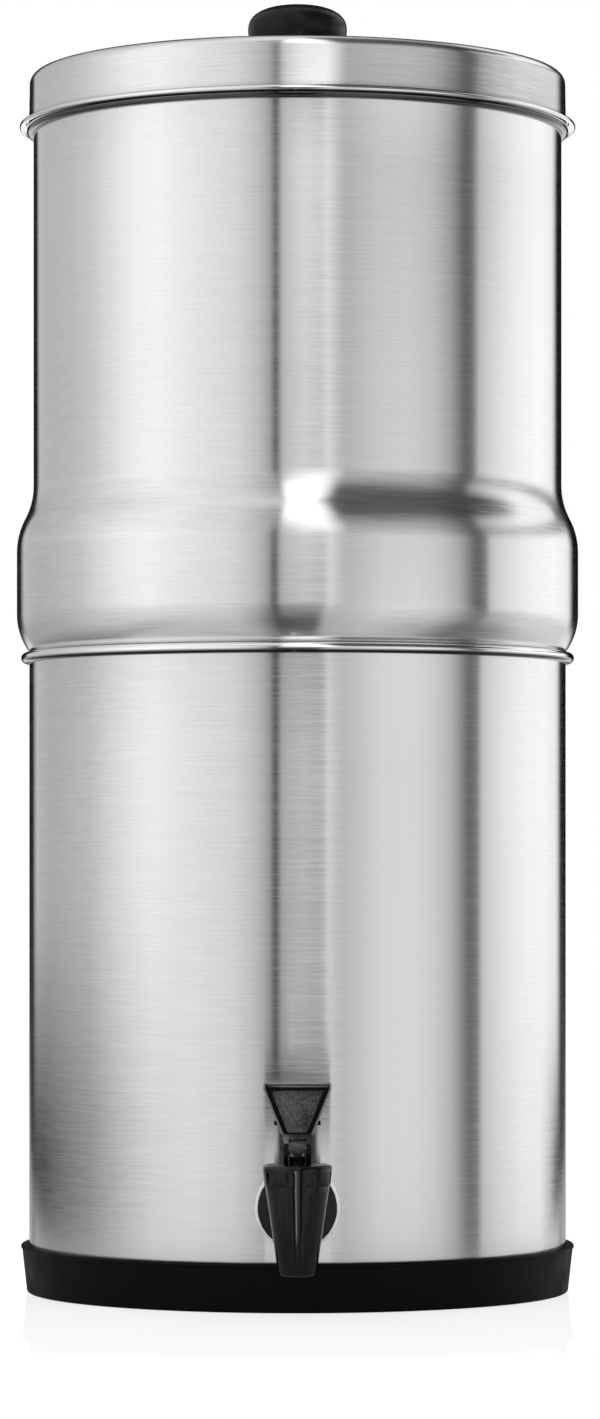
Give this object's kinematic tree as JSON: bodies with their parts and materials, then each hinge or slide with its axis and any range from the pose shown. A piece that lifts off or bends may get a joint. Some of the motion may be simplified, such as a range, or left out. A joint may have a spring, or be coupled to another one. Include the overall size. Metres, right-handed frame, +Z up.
{
  "type": "gravity water filter",
  "caption": "Brushed steel gravity water filter with nested round chambers, lift-off lid, ceramic candles, rubber base ring and a black self-closing lever tap.",
  "frame": {"origin": "centre of the base ring's foot, on the surface it stands on and on the chambers' common axis", "axes": "+Z up along the chambers' axis; the tap faces -Y; +X is to the right of someone who faces the tap"},
  "size_m": [0.226, 0.2592, 0.5176],
  "materials": {
    "brushed_steel": "satin",
    "plain_steel": "satin",
    "gloss_black": "gloss",
    "satin_black": "satin",
    "black_rubber": "matte",
    "white_silicone": "matte",
    "white_ceramic": "matte",
    "carbon": "matte",
    "pale_plastic": "satin"
  },
  "bodies": {
    "lower_tank": {"lower_chamber": "brushed_steel", "base_ring": "black_rubber", "tap_body": "gloss_black", "tap_bonnet": "gloss_black", "tap_outer_washer": "white_silicone", "tap_inner_washer": "white_silicone", "tap_nut": "satin_black"},
    "upper_tank": {"upper_chamber": "brushed_steel", "candle_shell_1": "white_ceramic", "candle_shell_2": "white_ceramic", "candle_core_1": "carbon", "candle_core_2": "carbon", "candle_base_1": "pale_plastic", "candle_base_2": "pale_plastic", "candle_washer_1": "white_silicone", "candle_washer_2": "white_silicone", "candle_wing_nut_1": "pale_plastic", "candle_wing_nut_2": "pale_plastic", "plug_1": "pale_plastic", "plug_2": "pale_plastic", "plug_washer_1": "white_silicone", "plug_washer_2": "white_silicone", "plug_wing_nut_1": "pale_plastic", "plug_wing_nut_2": "pale_plastic"},
    "lid": {"lid": "brushed_steel", "lid_knob": "satin_black", "lid_knob_screw": "plain_steel", "lid_knob_washer": "black_rubber"},
    "valve_stem": {"tap_stem": "gloss_black", "tap_stem_spring": "plain_steel", "tap_seat_cup": "white_silicone"},
    "lever": {"tap_lever": "gloss_black", "tap_lever_pin": "plain_steel"}
  },
  "joints": [
    {"name": "upper_chamber_lift", "type": "slide", "parent": "lower_tank", "child": "upper_tank", "axis": [0, 0, 1], "range_m": [0, 0.12]},
    {"name": "lid_lift", "type": "slide", "parent": "upper_tank", "child": "lid", "axis": [0, 0, 1], "range_m": [0, 0.1]},
    {"name": "stem_lift", "type": "slide", "parent": "lower_tank", "child": "valve_stem", "axis": [0, 0, 1], "range_m": [0, 0.00315], "deforming": ["tap_stem_spring", "tap_seat_cup"]},
    {"name": "lever_tilt", "type": "hinge", "parent": "valve_stem", "child": "lever", "pos_m": [0, -0.133, 0.0646], "axis": [1, 0, 0], "range_deg": [0, 60], "stiffness_Nm_per_rad": 0.05, "springref_deg": -34.38}
  ],
  "couplings": [
    {"joint": "stem_lift", "follows": "lever_tilt", "m_per_rad": 0.003}
  ]
}
